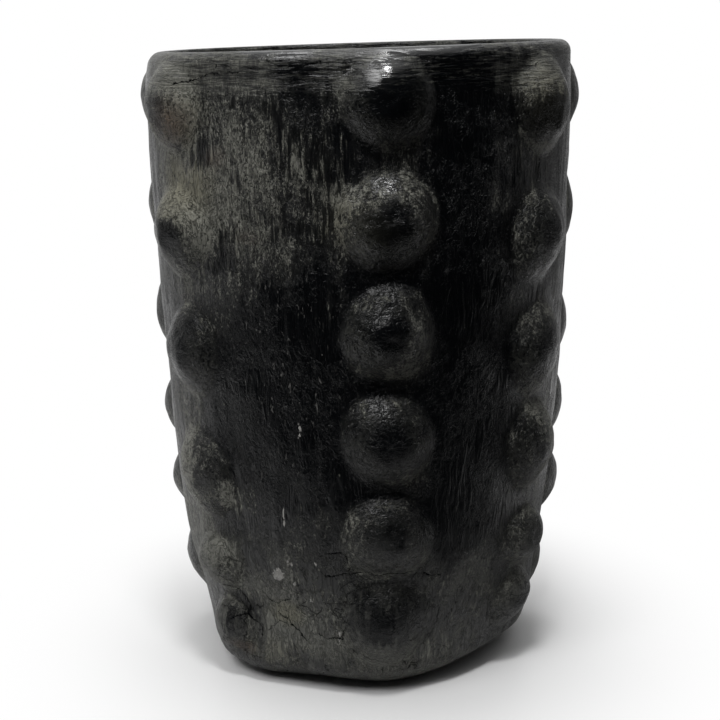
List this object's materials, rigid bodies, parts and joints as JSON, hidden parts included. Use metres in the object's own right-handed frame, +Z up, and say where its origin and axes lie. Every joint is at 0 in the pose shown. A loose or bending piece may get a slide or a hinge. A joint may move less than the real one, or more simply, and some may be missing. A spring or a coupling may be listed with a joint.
{
  "type": "clay vessel",
  "caption": "Tall hand-built clay vessel, open at the top, with columns of rounded bosses down a tapering wall and a rounded foot.",
  "frame": {"origin": "on the ground, at the centre of the foot", "axes": "+Z up along the vessel's axis, towards the mouth; -Y is the front, with one column of bosses facing it"},
  "size_m": [0.3404, 0.3363, 0.4788],
  "materials": {
    "smoked_clay": "burnished and smoked black, semi-gloss",
    "grey_clay": "scraped and worn dark grey, low sheen",
    "ashen_clay": "ash-grey and dusty, matt"
  },
  "bodies": {
    "root": {"base_dish": "ashen_clay", "wall_course_1": "grey_clay", "wall_course_2": "grey_clay", "wall_course_3": "grey_clay", "wall_course_4": "grey_clay", "wall_course_5": "grey_clay", "rim_coil": "smoked_clay", "boss_front_1": "grey_clay", "boss_front_2": "grey_clay", "boss_front_3": "grey_clay", "boss_front_4": "smoked_clay", "boss_front_5": "smoked_clay", "boss_front_6": "smoked_clay", "boss_front_right_1": "grey_clay", "boss_front_right_2": "grey_clay", "boss_front_right_3": "grey_clay", "boss_front_right_4": "smoked_clay", "boss_front_right_5": "smoked_clay", "boss_front_right_6": "smoked_clay", "boss_right_1": "grey_clay", "boss_right_2": "grey_clay", "boss_right_3": "grey_clay", "boss_right_4": "smoked_clay", "boss_right_5": "smoked_clay", "boss_right_6": "smoked_clay", "boss_back_right_1": "grey_clay", "boss_back_right_2": "grey_clay", "boss_back_right_3": "grey_clay", "boss_back_right_4": "smoked_clay", "boss_back_right_5": "smoked_clay", "boss_back_right_6": "smoked_clay", "boss_back_left_1": "grey_clay", "boss_back_left_2": "grey_clay", "boss_back_left_3": "grey_clay", "boss_back_left_4": "smoked_clay", "boss_back_left_5": "smoked_clay", "boss_back_left_6": "smoked_clay", "boss_left_1": "grey_clay", "boss_left_2": "grey_clay", "boss_left_3": "grey_clay", "boss_left_4": "smoked_clay", "boss_left_5": "smoked_clay", "boss_left_6": "smoked_clay", "boss_front_left_1": "grey_clay", "boss_front_left_2": "grey_clay", "boss_front_left_3": "grey_clay", "boss_front_left_4": "smoked_clay", "boss_front_left_5": "smoked_clay", "boss_front_left_6": "smoked_clay"}
  },
  "joints": []
}
